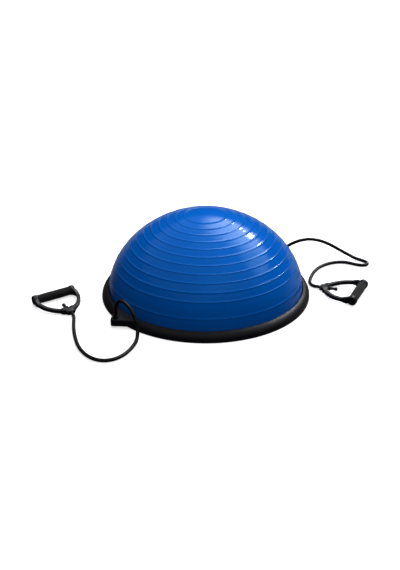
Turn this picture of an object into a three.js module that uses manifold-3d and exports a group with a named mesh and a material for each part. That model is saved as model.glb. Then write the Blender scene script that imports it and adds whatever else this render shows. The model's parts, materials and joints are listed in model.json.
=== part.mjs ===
// Balance dome trainer: an inflated ribbed dome clamped in a rigid round base,
// with a stretch tube and a D-shaped handle on each of two opposite lugs.
// Millimetres, +Z up. The origin is the centre of the base's underside, on the
// ground, and the two lugs lie on the X axis.

import * as THREE from 'three';
import { mergeVertices } from 'three/addons/utils/BufferGeometryUtils.js';
import Module from 'manifold-3d';

const wasm = await Module();
wasm.setup();

// ---------------------------------------------------------------- dimensions

const GAP = 0.3;                  // clearance between pieces that touch
const ROUND = 48;                 // facets round the big turned pieces

// Base
const BASE_RADIUS = 300;
const BASE_LIP_RADIUS = 280.5;    // inner edge of the ring's top
const BASE_LIP_TOP = 27;
// The ring's outer face above its widest part, going up to the lip
const BASE_CROWN = [[298.6, 11], [295.2, 17.5], [289.6, 23.4], [282.4, BASE_LIP_TOP]];
const BASE_WALL_RADIUS = 296.4;   // inside of the ring's outer wall
const COLLAR_WALL = 3;            // the ring's inner collar, which presses on the dome's flange
const COLLAR_BOTTOM = 12;
const PLATE_RADIUS = 294;
const PLATE_TOP = 4;
const PLATE_GROUND = 1;           // underside between the raised grip rings
const CENTRE_DISC_RADIUS = 35;
const GRIP_RING_RADII = [90, 170, 256];
const GRIP_RING_WIDTH = 4;

// Dome: a superellipse of revolution above its widest circle
const DOME_RADIUS = 279.5;
const DOME_RISE = 227;
const DOME_EQUATOR = 20;
const DOME_POWER = 1.87;
const DOME_WALL = 2.2;
const RIB_FIRST = 61.5;           // along the skin, from the top's centre
const RIB_PITCH = 25;
const RIB_COUNT = 11;             // evenly spaced ribs, before the last one
const RIB_LAST_STEP = 43.8;
const RIB_HEIGHT = 0.6;
const FLANGE_RADIUS = 286.2;
const FLANGE_BOTTOM = 8.7;
const BEAD_BOTTOM = 5;

// Screws that hold the plate to the ring
const SCREW_COUNT = 8;
const SCREW_CIRCLE = 291;
const SCREW_RADIUS = 1.7;
const SCREW_HEAD_RADIUS = 2.2;
const SCREW_TOP = 14;
const BOSS_RADIUS = 4.2;
const BOSS_TOP = 16.5;

// Anti-slip feet
const FOOT_COUNT = 6;
const FOOT_CIRCLE = 234;
const FOOT_RADIUS = 16;
const FOOT_HEIGHT = 2.6;

// Air valve, in the wide band above the last rib
const VALVE_ANGLE = Math.PI / 2;
const VALVE_BORE = 4;
const VALVE_NECK = 6;
const VALVE_FLANGE = 9;
const VALVE_FLANGE_HEIGHT = 1.2;
const PLUG_LENGTH = 14;

// Lugs and the tube's fixing in them
const LUG_APEX = 335;
const LUG_SHOULDER = 20;          // half the width of the lug's square corner
const LUG_ROUNDING = 5;
const LUG_BOTTOM = 5;
const LUG_TOP = 25;
const LUG_HOLE_AT = 317;
const LUG_HOLE_RADIUS = 6;
const POCKET_RADIUS = 8.6;
const POCKET_TOP = 13;
const BUSH_RADIUS = 7.6;
const BUSH_HEIGHT = 5;

// Stretch tubes
const TUBE_RADIUS = 5;
const TUBE_SIDES = 8;
const TUBE_STEPS = 50;

// Handles. Each lies on the ground: its grip rests on the round end caps and its hub is lower.
const GRIP_HEIGHT = 14.5;         // the grip's axis above the ground, and the caps' radius
const HUB_HEIGHT = 8;
const HUB_AT = 100;               // the hub's centre, from the grip's axis
const HUB_LENGTH = 25;
const HUB_WIDTH = 27;
const HUB_THICKNESS = 15.4;
const HUB_BORE = 5.7;
const SLEEVE_RADIUS = 13;
const SLEEVE_HALF = 51;
const CORE_RADIUS = 7;
const EYE_THICKNESS = 7;
const CAP_THICKNESS = 6;
const BOW_WIDTH = 10;
const BOW_THICKNESS = 11;
const HANDLE_TILT = Math.asin((GRIP_HEIGHT - HUB_HEIGHT) / HUB_AT);

// The tubes' routes, from the lug up and over to the ground, then along it to the handle's hub
const LEFT_GRIP = new THREE.Vector3(-365, 241, GRIP_HEIGHT);
const LEFT_BEARING = THREE.MathUtils.degToRad(-96);
const LEFT_ROUTE = [
  [-317, 0, 14], [-317, 0, 24], [-317, 0, 33], [-317.2, -0.7, 46], [-317.3, -5.9, 65.7], [-316.6, -18, 81.9],
  [-315.1, -36.2, 87], [-313, -55.8, 81], [-311.2, -73, 66.2], [-311, -85.5, 47.6], [-313.7, -94.8, 29.2],
  [-320.7, -103, 14.7], [-331.9, -111.9, 6.4], [-348.3, -123.1, 5.3], [-369.5, -135, 5.3], [-395.5, -144.7, 5.3],
  [-422.3, -146.5, 5.3], [-445.8, -137.7, 5.3], [-461.3, -117.9, 5.3], [-467.5, -91.1, 5.3],
  [-465.6, -60.6, 5.3], [-457.1, -28.1, 5.3], [-443.6, 4.2, 5.3], [-427.6, 35.8, 5.3], [-410.8, 64.6, 5.3],
  [-394.6, 89.2, 5.3], [-381.2, 110.8, 6],
];

const RIGHT_GRIP = new THREE.Vector3(314, -305, GRIP_HEIGHT);
const RIGHT_BEARING = THREE.MathUtils.degToRad(115);
const RIGHT_ROUTE = [
  [317, 0, 14], [317, 0, 24], [317, 0, 33], [318, -0.7, 42], [323.2, -4.1, 51.5], [333.5, -11, 59.5],
  [345, -18.5, 65.5], [358.3, -27.1, 70.3],
  [380, -41, 73.1], [403.7, -55.6, 68.6], [427.6, -70, 57.7], [450.8, -83.5, 42.5], [471.8, -97.1, 26.5],
  [489.8, -111.7, 13.3], [498.1, -133.5, 6.5], [503.2, -152.7, 5.3], [504.3, -170, 5.3], [499.9, -181.4, 5.3],
  [489, -185.8, 5.3], [477.5, -180.8, 5.3], [467.9, -167.5, 5.3], [460.7, -149.1, 5.3], [453, -133.1, 5.3],
  [440.1, -119.9, 5.3], [420.2, -109.5, 5.3], [395.6, -104.5, 5.3], [368.3, -105.4, 5.3], [341.6, -112.7, 5.3],
  [317.3, -124.2, 5.3], [296.6, -136.8, 5.3], [279.8, -148.6, 5.3], [267.5, -160.3, 5.3], [260.3, -173.6, 5.4],
  [259.4, -187.6, 6.1],
];

// ----------------------------------------------------------------- materials

const plastic = () => new THREE.MeshStandardMaterial({ color: 0x17181b, roughness: 0.5, metalness: 0 });
const underside = () => new THREE.MeshStandardMaterial({ color: 0x1f2023, roughness: 0.65, metalness: 0 });
const dome = () => new THREE.MeshStandardMaterial({ color: 0x0b53b8, roughness: 0.32, metalness: 0 });
const rubber = () => new THREE.MeshStandardMaterial({ color: 0x121315, roughness: 0.45, metalness: 0 });
const foam = () => new THREE.MeshStandardMaterial({ color: 0x0d0d0f, roughness: 0.95, metalness: 0 });
const stopper = () => new THREE.MeshStandardMaterial({ color: 0x2a2b2f, roughness: 0.5, metalness: 0 });
const steel = () => new THREE.MeshStandardMaterial({ color: 0x9a9da1, roughness: 0.35, metalness: 1 });

// ------------------------------------------------------------- solid helpers

function toSolid(geometry) {
  const bare = geometry.clone();
  bare.deleteAttribute('normal');
  bare.deleteAttribute('uv');
  const merged = mergeVertices(bare, 1e-4);
  return new wasm.Manifold(new wasm.Mesh({
    numProp: 3,
    vertProperties: merged.attributes.position.array,
    triVerts: Uint32Array.from(merged.index.array),
  }));
}

function toGeometry(solid) {
  const mesh = solid.getMesh();
  const geometry = new THREE.BufferGeometry();
  geometry.setAttribute('position', new THREE.BufferAttribute(mesh.vertProperties, 3));
  geometry.setIndex(new THREE.BufferAttribute(mesh.triVerts, 1));
  geometry.computeVertexNormals();
  return geometry;
}

function join(geometries) {
  const [first, ...others] = geometries.map(toSolid);
  return toGeometry(others.reduce((sum, next) => sum.add(next), first));
}

function cut(geometry, tools) {
  return toGeometry(tools.map(toSolid).reduce((rest, tool) => rest.subtract(tool), toSolid(geometry)));
}

// A solid turned about +Z from [radius, height] points, outer side first, going up.
function turned(profile, facets = ROUND) {
  const points = profile.map(([radius, height]) => new THREE.Vector2(radius, height));
  return new THREE.LatheGeometry(points, facets).rotateX(Math.PI / 2);
}

// An upright cylinder from one height to another.
function post(radius, bottom, top, facets) {
  const geometry = new THREE.CylinderGeometry(radius, radius, top - bottom, facets).rotateX(Math.PI / 2);
  return geometry.translate(0, 0, (top + bottom) / 2);
}

function onCircle(geometry, radius, angle) {
  return geometry.translate(radius, 0, 0).rotateZ(angle);
}

const object = new THREE.Group();

function addMesh(parent, name, geometry, material) {
  const mesh = new THREE.Mesh(geometry, material);
  mesh.name = name;
  parent.add(mesh);
  return mesh;
}

// ------------------------------------------------------------ the dome's skin

function domePoint(theta) {
  const bulge = 2 / DOME_POWER;
  const radius = DOME_RADIUS * Math.sin(theta) ** bulge;
  const height = DOME_EQUATOR + DOME_RISE * Math.max(Math.cos(theta), 0) ** bulge;
  return new THREE.Vector2(radius, height);
}

// The skin's point and outward normal at a distance from the top's centre.
const SKIN_WALK = 2000;
const skinLine = new THREE.Path(
  Array.from({ length: SKIN_WALK + 1 }, (_, i) => domePoint((Math.PI / 2) * (i / SKIN_WALK))));
const skinLengths = skinLine.getCurveLengths();
const SKIN_LENGTH = skinLengths[SKIN_WALK - 1];

function skinAt(distance) {
  const along = THREE.MathUtils.clamp(distance / SKIN_LENGTH, 0, 1);
  const point = skinLine.getPointAt(along);
  const tangent = skinLine.getTangentAt(along);
  return { point, normal: new THREE.Vector2(-tangent.y, tangent.x) };
}

function offsetSkin(distance, offset) {
  const { point, normal } = skinAt(distance);
  return [Math.max(point.x + normal.x * offset, 0), point.y + normal.y * offset];
}

const ribs = Array.from({ length: RIB_COUNT }, (_, i) => RIB_FIRST + i * RIB_PITCH);
ribs.push(ribs[RIB_COUNT - 1] + RIB_LAST_STEP);

function domeBladder() {
  const inside = [[0, DOME_EQUATOR + DOME_RISE - DOME_WALL]];
  const innerSteps = 7;
  for (let i = 1; i < innerSteps; i++) {
    inside.push(offsetSkin((SKIN_LENGTH * i) / innerSteps, -DOME_WALL));
  }
  const clamped = [
    [DOME_RADIUS - DOME_WALL, DOME_EQUATOR],
    [DOME_RADIUS - DOME_WALL, FLANGE_BOTTOM],
    [FLANGE_RADIUS - 3, FLANGE_BOTTOM],
    [FLANGE_RADIUS - 3, BEAD_BOTTOM],
    [FLANGE_RADIUS, BEAD_BOTTOM],
    [FLANGE_RADIUS, COLLAR_BOTTOM - GAP],
    [DOME_RADIUS, COLLAR_BOTTOM - GAP],
    [DOME_RADIUS, DOME_EQUATOR],
  ];
  const outside = [];
  for (const rib of ribs.toReversed()) {
    outside.push(offsetSkin(rib, RIB_HEIGHT));
  }
  outside.push(offsetSkin(RIB_FIRST / 2, RIB_HEIGHT / 2));
  outside.push([0, DOME_EQUATOR + DOME_RISE]);
  return turned([...inside, ...clamped, ...outside]);
}

// The frame of the air valve: its local Z is the skin's outward normal.
const valve = skinAt(ribs[RIB_COUNT - 1] + RIB_LAST_STEP / 2);
const valveFrame = new THREE.Group();
valveFrame.position.set(
  valve.point.x * Math.cos(VALVE_ANGLE), valve.point.x * Math.sin(VALVE_ANGLE), valve.point.y);
valveFrame.quaternion.setFromUnitVectors(new THREE.Vector3(0, 0, 1), new THREE.Vector3(
  valve.normal.x * Math.cos(VALVE_ANGLE), valve.normal.x * Math.sin(VALVE_ANGLE), valve.normal.y));
valveFrame.updateMatrix();
object.add(valveFrame);

const valveHole = post(VALVE_NECK + 2 * GAP, -12, 12, 14).applyMatrix4(valveFrame.matrix);
addMesh(object, 'dome_bladder', cut(domeBladder(), [valveHole]), dome());

const FLOOR_RADIUS = 268;
const FLOOR_BOTTOM = PLATE_TOP + GAP;
addMesh(object, 'bladder_floor', turned(
  [[0, FLOOR_BOTTOM], [FLOOR_RADIUS, FLOOR_BOTTOM], [FLOOR_RADIUS, FLOOR_BOTTOM + 2], [0, FLOOR_BOTTOM + 2]],
), dome());

// --------------------------------------------------------------- air valve

const FLANGE_SEAT = 0.7;          // stands off the curved skin and its facets
const grommetOuter = FLANGE_SEAT + VALVE_FLANGE_HEIGHT;
const grommetInner = -DOME_WALL - 3.2 - VALVE_FLANGE_HEIGHT;
addMesh(valveFrame, 'valve_grommet', turned([
  [VALVE_FLANGE, grommetInner], [VALVE_FLANGE, grommetInner + VALVE_FLANGE_HEIGHT],
  [VALVE_NECK, grommetInner + VALVE_FLANGE_HEIGHT], [VALVE_NECK, FLANGE_SEAT],
  [VALVE_FLANGE, FLANGE_SEAT], [VALVE_FLANGE, grommetOuter],
  [VALVE_BORE, grommetOuter], [VALVE_BORE, grommetInner], [VALVE_FLANGE, grommetInner],
], 14), rubber());

const plugSeat = grommetOuter + GAP;
addMesh(valveFrame, 'air_plug', turned([
  [0, plugSeat - PLUG_LENGTH], [2.6, plugSeat - PLUG_LENGTH], [VALVE_BORE - GAP, plugSeat - 9],
  [VALVE_BORE - GAP, plugSeat], [7, plugSeat], [7, plugSeat + 1.2], [5.4, plugSeat + 2.2], [0, plugSeat + 2.6],
], 14), stopper());

// -------------------------------------------------------------------- base

// The ring: an outer band that leans in to a lip, and a collar hanging from the lip.
function ringBody() {
  return turned([
    [BASE_WALL_RADIUS, 0], [BASE_RADIUS - 1.4, 0], [BASE_RADIUS, 1.6], [BASE_RADIUS, 5],
    ...BASE_CROWN,
    [BASE_LIP_RADIUS, BASE_LIP_TOP - 1], [BASE_LIP_RADIUS, COLLAR_BOTTOM],
    [BASE_LIP_RADIUS + COLLAR_WALL, COLLAR_BOTTOM], [BASE_LIP_RADIUS + COLLAR_WALL, 22.5],
    [290.4, 17.6], [BASE_WALL_RADIUS, 8], [BASE_WALL_RADIUS, 0],
  ]);
}

// One lug in plan: a square corner pointing outwards, its flanks swept into the ring.
function lugPlan() {
  const flank = LUG_ROUNDING * (Math.SQRT2 - 1);
  const inset = LUG_ROUNDING * Math.SQRT1_2;
  const plan = new THREE.Shape();
  plan.moveTo(272, -66);
  plan.lineTo(280, -66);
  plan.quadraticCurveTo(303, -31, LUG_APEX - LUG_SHOULDER, -LUG_SHOULDER);
  plan.lineTo(LUG_APEX - inset - flank, -inset);
  plan.quadraticCurveTo(LUG_APEX + flank * 0.3, 0, LUG_APEX - inset - flank, inset);
  plan.lineTo(LUG_APEX - LUG_SHOULDER, LUG_SHOULDER);
  plan.quadraticCurveTo(303, 31, 280, 66);
  plan.lineTo(272, 66);
  plan.closePath();
  return plan;
}

function lugBlock(angle) {
  const edge = 1;
  const block = new THREE.ExtrudeGeometry(lugPlan(), {
    depth: LUG_TOP - edge, curveSegments: 4, bevelThickness: edge, bevelSize: edge, bevelOffset: -edge,
    bevelSegments: 1,
  });
  const sole = new THREE.BoxGeometry(100, 160, 20).translate(LUG_APEX - 40, 0, LUG_BOTTOM - 10);
  const inside = turned([[0, -5], [297.2, -5], [297.2, 8], [292.6, 18], [286.4, 24], [286.4, 40], [0, 40]]);
  return cut(block, [sole, inside]).rotateZ(angle);
}

function bossBlank(angle) {
  return onCircle(post(BOSS_RADIUS, FLANGE_BOTTOM + 0.4, BOSS_TOP, 10), SCREW_CIRCLE, angle);
}

function screwAngle(index) {
  return ((index + 0.5) / SCREW_COUNT) * 2 * Math.PI;
}

const screwAngles = Array.from({ length: SCREW_COUNT }, (_, i) => screwAngle(i));
const lugAngles = [0, Math.PI];

function baseRing() {
  const body = join([ringBody(), ...lugAngles.map(lugBlock), ...screwAngles.map(bossBlank)]);
  const cuts = [];
  for (const angle of lugAngles) {
    cuts.push(onCircle(post(LUG_HOLE_RADIUS, -1, LUG_TOP + 4, 16), LUG_HOLE_AT, angle));
    cuts.push(onCircle(post(POCKET_RADIUS, -1, POCKET_TOP, 16), LUG_HOLE_AT, angle));
  }
  for (const angle of screwAngles) {
    cuts.push(onCircle(post(SCREW_RADIUS + GAP, 8, SCREW_TOP + 1, 8), SCREW_CIRCLE, angle));
  }
  return cut(body, cuts);
}

addMesh(object, 'base_ring', baseRing(), plastic());

// The plate: its underside carries raised grip rings, and its edge land presses on the flange.
function plateBody() {
  const half = GRIP_RING_WIDTH / 2;
  const under = [[0, 0], [CENTRE_DISC_RADIUS, 0], [CENTRE_DISC_RADIUS, PLATE_GROUND]];
  for (const radius of GRIP_RING_RADII) {
    under.push([radius - half, PLATE_GROUND], [radius - half, 0], [radius + half, 0], [radius + half, PLATE_GROUND]);
  }
  return turned([
    ...under, [PLATE_RADIUS - 1, PLATE_GROUND], [PLATE_RADIUS, PLATE_GROUND + 1], [PLATE_RADIUS, 8.4],
    [287, 8.4], [287, PLATE_TOP], [282.4, PLATE_TOP], [282.4, 8.4], [270, 8.4], [269, PLATE_TOP], [0, PLATE_TOP],
  ]);
}

function basePlate() {
  const cuts = [];
  for (const angle of screwAngles) {
    cuts.push(onCircle(post(SCREW_RADIUS + GAP, -1, 10, 8), SCREW_CIRCLE, angle));
    cuts.push(onCircle(post(SCREW_HEAD_RADIUS + GAP, -1, 3 + GAP, 8), SCREW_CIRCLE, angle));
  }
  for (let i = 0; i < FOOT_COUNT; i++) {
    const angle = (i / FOOT_COUNT) * 2 * Math.PI + Math.PI / FOOT_COUNT;
    cuts.push(onCircle(post(FOOT_RADIUS + GAP, -1, FOOT_HEIGHT + GAP, 14), FOOT_CIRCLE, angle));
  }
  return cut(plateBody(), cuts);
}

addMesh(object, 'base_plate', basePlate(), underside());

screwAngles.forEach((angle, index) => {
  const head = post(SCREW_HEAD_RADIUS, PLATE_GROUND + 0.4, 3, 8);
  const shank = post(SCREW_RADIUS, 2.8, SCREW_TOP, 8);
  const screw = onCircle(join([head, shank]), SCREW_CIRCLE, angle);
  addMesh(object, `plate_screw_${String(index + 1).padStart(2, '0')}`, screw, steel());
});

for (let i = 0; i < FOOT_COUNT; i++) {
  const angle = (i / FOOT_COUNT) * 2 * Math.PI + Math.PI / FOOT_COUNT;
  addMesh(object, `foot_pad_${i + 1}`, onCircle(post(FOOT_RADIUS, 0, FOOT_HEIGHT, 14), FOOT_CIRCLE, angle), rubber());
}

// ------------------------------------------------------- tubes and handles

// The handle's frame: local X along the grip, local Y from the grip to the hub, local Z up.
function handleFrame(grip, bearing) {
  const frame = new THREE.Group();
  frame.position.copy(grip);
  frame.rotation.set(-HANDLE_TILT, 0, bearing - Math.PI / 2, 'ZYX');
  frame.updateMatrix();
  return frame;
}

function tubeSolid(frame, route) {
  const points = route.map(([x, y, z]) => new THREE.Vector3(x, y, z));
  const inside = HUB_AT - HUB_LENGTH / 2;
  const outside = HUB_AT + HUB_LENGTH / 2;
  for (const along of [outside + 8, outside, HUB_AT, inside + 1]) {
    points.push(new THREE.Vector3(0, along, 0).applyMatrix4(frame.matrix));
  }
  const section = new THREE.Shape(Array.from({ length: TUBE_SIDES }, (_, i) => {
    const angle = (i / TUBE_SIDES) * 2 * Math.PI;
    return new THREE.Vector2(TUBE_RADIUS * Math.cos(angle), TUBE_RADIUS * Math.sin(angle));
  }));
  const path = new THREE.CatmullRomCurve3(points);
  return new THREE.ExtrudeGeometry(section, { extrudePath: path, steps: TUBE_STEPS });
}

// A solid turned about the handle's local X axis from [radius, distance along X] points.
function alongGrip(profile, facets) {
  return turned(profile, facets).rotateY(Math.PI / 2);
}

// A solid turned about the handle's local Y axis, from the hub's inner face towards the grip.
function alongHub(profile, facets) {
  return turned(profile, facets).rotateX(Math.PI / 2).translate(0, HUB_AT - HUB_LENGTH / 2, 0);
}

const EYE_AT = SLEEVE_HALF + GAP + EYE_THICKNESS / 2;
const EYE_OUTSIDE = EYE_AT + EYE_THICKNESS / 2;
const EYE_BORE = 5.2;
const SPIGOT_RADIUS = 4.8;

function bowLoop() {
  const half = [[EYE_AT, 0], [60, 20], [58, 38], [51, 57], [41, 72], [28, 85], [12, 95]];
  const mirrored = half.toReversed().map(([x, y]) => [-x, y]);
  const line = [...half, [0, 98], ...mirrored].map(([x, y]) => new THREE.Vector3(x, y, 0));
  const section = new THREE.Shape();
  const across = BOW_WIDTH / 2;
  const up = BOW_THICKNESS / 2;
  const corner = 2;
  section.moveTo(up, -across + corner);
  section.lineTo(up, across - corner);
  section.lineTo(up - corner, across);
  section.lineTo(-up + corner, across);
  section.lineTo(-up, across - corner);
  section.lineTo(-up, -across + corner);
  section.lineTo(-up + corner, -across);
  section.lineTo(up - corner, -across);
  section.closePath();
  return new THREE.ExtrudeGeometry(section, { extrudePath: new THREE.CatmullRomCurve3(line), steps: 22 });
}

function hubBlock() {
  const plan = new THREE.Shape();
  plan.absellipse(0, 0, HUB_WIDTH / 2, HUB_THICKNESS / 2, 0, 2 * Math.PI);
  const block = new THREE.ExtrudeGeometry(plan, { depth: HUB_LENGTH, bevelEnabled: false, curveSegments: 14 });
  return block.rotateX(-Math.PI / 2).translate(0, HUB_AT - HUB_LENGTH / 2, 0);
}

// A disc about the grip's axis, between two distances along it.
function gripDisc(radius, from, to) {
  return alongGrip([[0, from], [radius, from], [radius, to], [0, to]], 20);
}

function handleBow() {
  const eyes = [-1, 1].map((side) => (
    gripDisc(GRIP_HEIGHT, side * EYE_AT - EYE_THICKNESS / 2, side * EYE_AT + EYE_THICKNESS / 2)));
  const room = GRIP_HEIGHT + 1;
  const end = EYE_OUTSIDE + 20;
  const clear = [
    gripDisc(room, -SLEEVE_HALF - GAP, SLEEVE_HALF + GAP),
    gripDisc(room, EYE_OUTSIDE, end),
    gripDisc(room, -end, -EYE_OUTSIDE),
    new THREE.CylinderGeometry(HUB_BORE, HUB_BORE, 60, 12).translate(0, HUB_AT, 0),
    new THREE.CylinderGeometry(EYE_BORE, EYE_BORE, 160, 12).rotateZ(Math.PI / 2),
  ];
  return cut(join([bowLoop(), hubBlock(), ...eyes]), clear);
}

// The core: a rod with a narrower spigot at each end, which passes through the bow's eye.
function gripCore() {
  const tip = EYE_OUTSIDE + 3;
  const shoulder = SLEEVE_HALF;
  return alongGrip([
    [0, -tip], [SPIGOT_RADIUS, -tip], [SPIGOT_RADIUS, -shoulder], [CORE_RADIUS, -shoulder],
    [CORE_RADIUS, shoulder], [SPIGOT_RADIUS, shoulder], [SPIGOT_RADIUS, tip], [0, tip],
  ], 12);
}

function gripSleeve() {
  const edge = 1.2;
  const bore = CORE_RADIUS + GAP;
  const end = SLEEVE_HALF;
  return alongGrip([
    [bore, -end], [SLEEVE_RADIUS - edge, -end], [SLEEVE_RADIUS, edge - end], [SLEEVE_RADIUS, end - edge],
    [SLEEVE_RADIUS - edge, end], [bore, end], [bore, -end],
  ], 20);
}

function gripCap() {
  const face = EYE_OUTSIDE + GAP;
  const end = face + CAP_THICKNESS;
  return alongGrip([
    [0, face + 3 + GAP], [EYE_BORE, face + 3 + GAP], [EYE_BORE, face], [GRIP_HEIGHT - 0.6, face],
    [GRIP_HEIGHT - 0.6, face + 1.6], [11.6, face + 4.8], [0, end],
  ], 20);
}

// The stop on the tube's end, inside the handle: a shoulder, a neck and a knob.
function tubeStop() {
  return alongHub([
    [0, GAP], [6.6, GAP], [6.6, 6], [4.4, 7], [4.4, 19], [5.4, 20], [5.4, 25], [4.2, 26.4], [0, 26.4],
  ], 12);
}

function bush() {
  const seat = LUG_TOP + GAP;
  const bore = TUBE_RADIUS + 2 * GAP;
  return turned([
    [bore, seat], [BUSH_RADIUS, seat], [BUSH_RADIUS, seat + 2], [BUSH_RADIUS - 1.6, seat + BUSH_HEIGHT],
    [bore, seat + BUSH_HEIGHT], [bore, seat],
  ], 14);
}

function anchorPlug() {
  return turned([
    [0, 0.6], [7, 0.6], [8.2, 1.8], [8.2, 4.8], [TUBE_RADIUS - 0.5, 8.6], [0, 8.6],
  ], 14).translate(0, 0, LUG_BOTTOM);
}

const sides = [
  { side: 'left', lugX: -LUG_HOLE_AT, grip: LEFT_GRIP, bearing: LEFT_BEARING, route: LEFT_ROUTE },
  { side: 'right', lugX: LUG_HOLE_AT, grip: RIGHT_GRIP, bearing: RIGHT_BEARING, route: RIGHT_ROUTE },
];

for (const { side, lugX, grip, bearing, route } of sides) {
  addMesh(object, `lug_bush_${side}`, bush().translate(lugX, 0, 0), rubber());
  addMesh(object, `anchor_plug_${side}`, anchorPlug().translate(lugX, 0, 0), stopper());
  const frame = handleFrame(grip, bearing);
  object.add(frame);
  addMesh(object, `tube_${side}`, tubeSolid(frame, route), rubber());
  addMesh(frame, `tube_stop_${side}`, tubeStop(), stopper());
  addMesh(frame, `handle_bow_${side}`, handleBow(), plastic());
  addMesh(frame, `grip_core_${side}`, gripCore(), plastic());
  addMesh(frame, `grip_sleeve_${side}`, gripSleeve(), foam());
  addMesh(frame, `grip_cap_${side}_a`, gripCap(), plastic());
  addMesh(frame, `grip_cap_${side}_b`, gripCap().rotateY(Math.PI), plastic());
}

export default object;
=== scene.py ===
"""The looks of the balance dome trainer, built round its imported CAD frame.

Shapes are written in millimetres and turned to metres where they become meshes. The dome, ring, platform
and their small parts are turned or cut solids in the row frame. Each handle is built in its own frame,
which comes from the record's joints: local X runs along the grip, local Y from the grip to the hub, and
local Z up.
"""

import json
import math

import bmesh
import bpy
import numpy as np
from mathutils import Matrix, Vector


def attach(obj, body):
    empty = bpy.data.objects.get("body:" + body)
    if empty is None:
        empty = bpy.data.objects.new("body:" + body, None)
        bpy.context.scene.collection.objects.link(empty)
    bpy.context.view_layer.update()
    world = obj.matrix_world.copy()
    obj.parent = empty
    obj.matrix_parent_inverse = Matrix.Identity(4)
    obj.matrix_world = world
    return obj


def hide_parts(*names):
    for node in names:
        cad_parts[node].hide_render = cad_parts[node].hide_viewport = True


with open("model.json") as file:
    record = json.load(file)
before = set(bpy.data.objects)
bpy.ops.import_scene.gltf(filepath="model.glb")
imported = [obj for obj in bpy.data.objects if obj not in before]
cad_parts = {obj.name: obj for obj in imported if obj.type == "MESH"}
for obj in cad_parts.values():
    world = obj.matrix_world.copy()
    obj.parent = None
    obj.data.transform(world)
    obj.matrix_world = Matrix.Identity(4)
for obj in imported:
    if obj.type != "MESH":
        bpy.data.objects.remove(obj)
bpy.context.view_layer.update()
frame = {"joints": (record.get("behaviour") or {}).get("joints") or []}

MM = 0.001
UP = Vector((0, 0, 1))
ORIGIN = Matrix.Identity(4)
TO_X = Matrix.Rotation(math.pi / 2, 4, "Y")          # a turned solid's axis along +X
TO_MINUS_Y = Matrix.Rotation(math.pi / 2, 4, "X")    # and along -Y
SIDES = ("left", "right")


# ---------------------------------------------------------------- camera

CAMERA_AZIMUTH = math.radians(-40)
CAMERA_ELEVATION = math.radians(25.05)
CAMERA_DISTANCE = 2.6
CAMERA_TARGET = Vector((0, 0, 0.1))


def direction(azimuth, elevation):
    """A unit vector towards a viewer at that azimuth and elevation. Azimuth 0 is on the -Y side."""
    flat = math.cos(elevation)
    return Vector((math.sin(azimuth) * flat, -math.cos(azimuth) * flat, math.sin(elevation)))


camera_data = bpy.data.cameras.new("camera")
camera_data.lens = 57.3
camera_data.sensor_width = 36
camera_data.shift_x = -0.0102
camera_data.shift_y = -0.043
camera_data.clip_end = 60
camera = bpy.data.objects.new("camera", camera_data)
toward_camera = direction(CAMERA_AZIMUTH, CAMERA_ELEVATION)
camera.location = CAMERA_TARGET + toward_camera * CAMERA_DISTANCE
camera.rotation_mode = "QUATERNION"
camera.rotation_quaternion = (-toward_camera).to_track_quat("-Z", "Y")
bpy.context.scene.collection.objects.link(camera)
bpy.context.scene.camera = camera


# ---------------------------------------------------------------- handle frames

HUB_AT = 100
HUB_LENGTH = 25
HUB_INSIDE = HUB_AT - HUB_LENGTH / 2
HUB_OUTSIDE = HUB_AT + HUB_LENGTH / 2
joints = {joint["name"]: joint for joint in frame["joints"]}


def handle_frame(side):
    """Local millimetres to row-frame metres, without the scale: the translation is in metres."""
    along_grip = Vector(joints[f"grip_{side}_spin"]["axis"]).normalized()
    to_hub = Vector(joints[f"handle_{side}_swivel"]["axis"]).normalized()
    turn = Matrix((along_grip, to_hub, along_grip.cross(to_hub))).transposed().to_4x4()
    return Matrix.Translation(Vector(joints[f"grip_{side}_spin"]["pos_m"])) @ turn


HANDLE = {side: handle_frame(side) for side in SIDES}


# ---------------------------------------------------------------- node materials

def srgb(red, green, blue):
    """A linear colour from 0 to 255 display values."""
    shares = [value / 255 for value in (red, green, blue)]
    return (*[s / 12.92 if s <= 0.04045 else ((s + 0.055) / 1.055) ** 2.4 for s in shares], 1)


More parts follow.
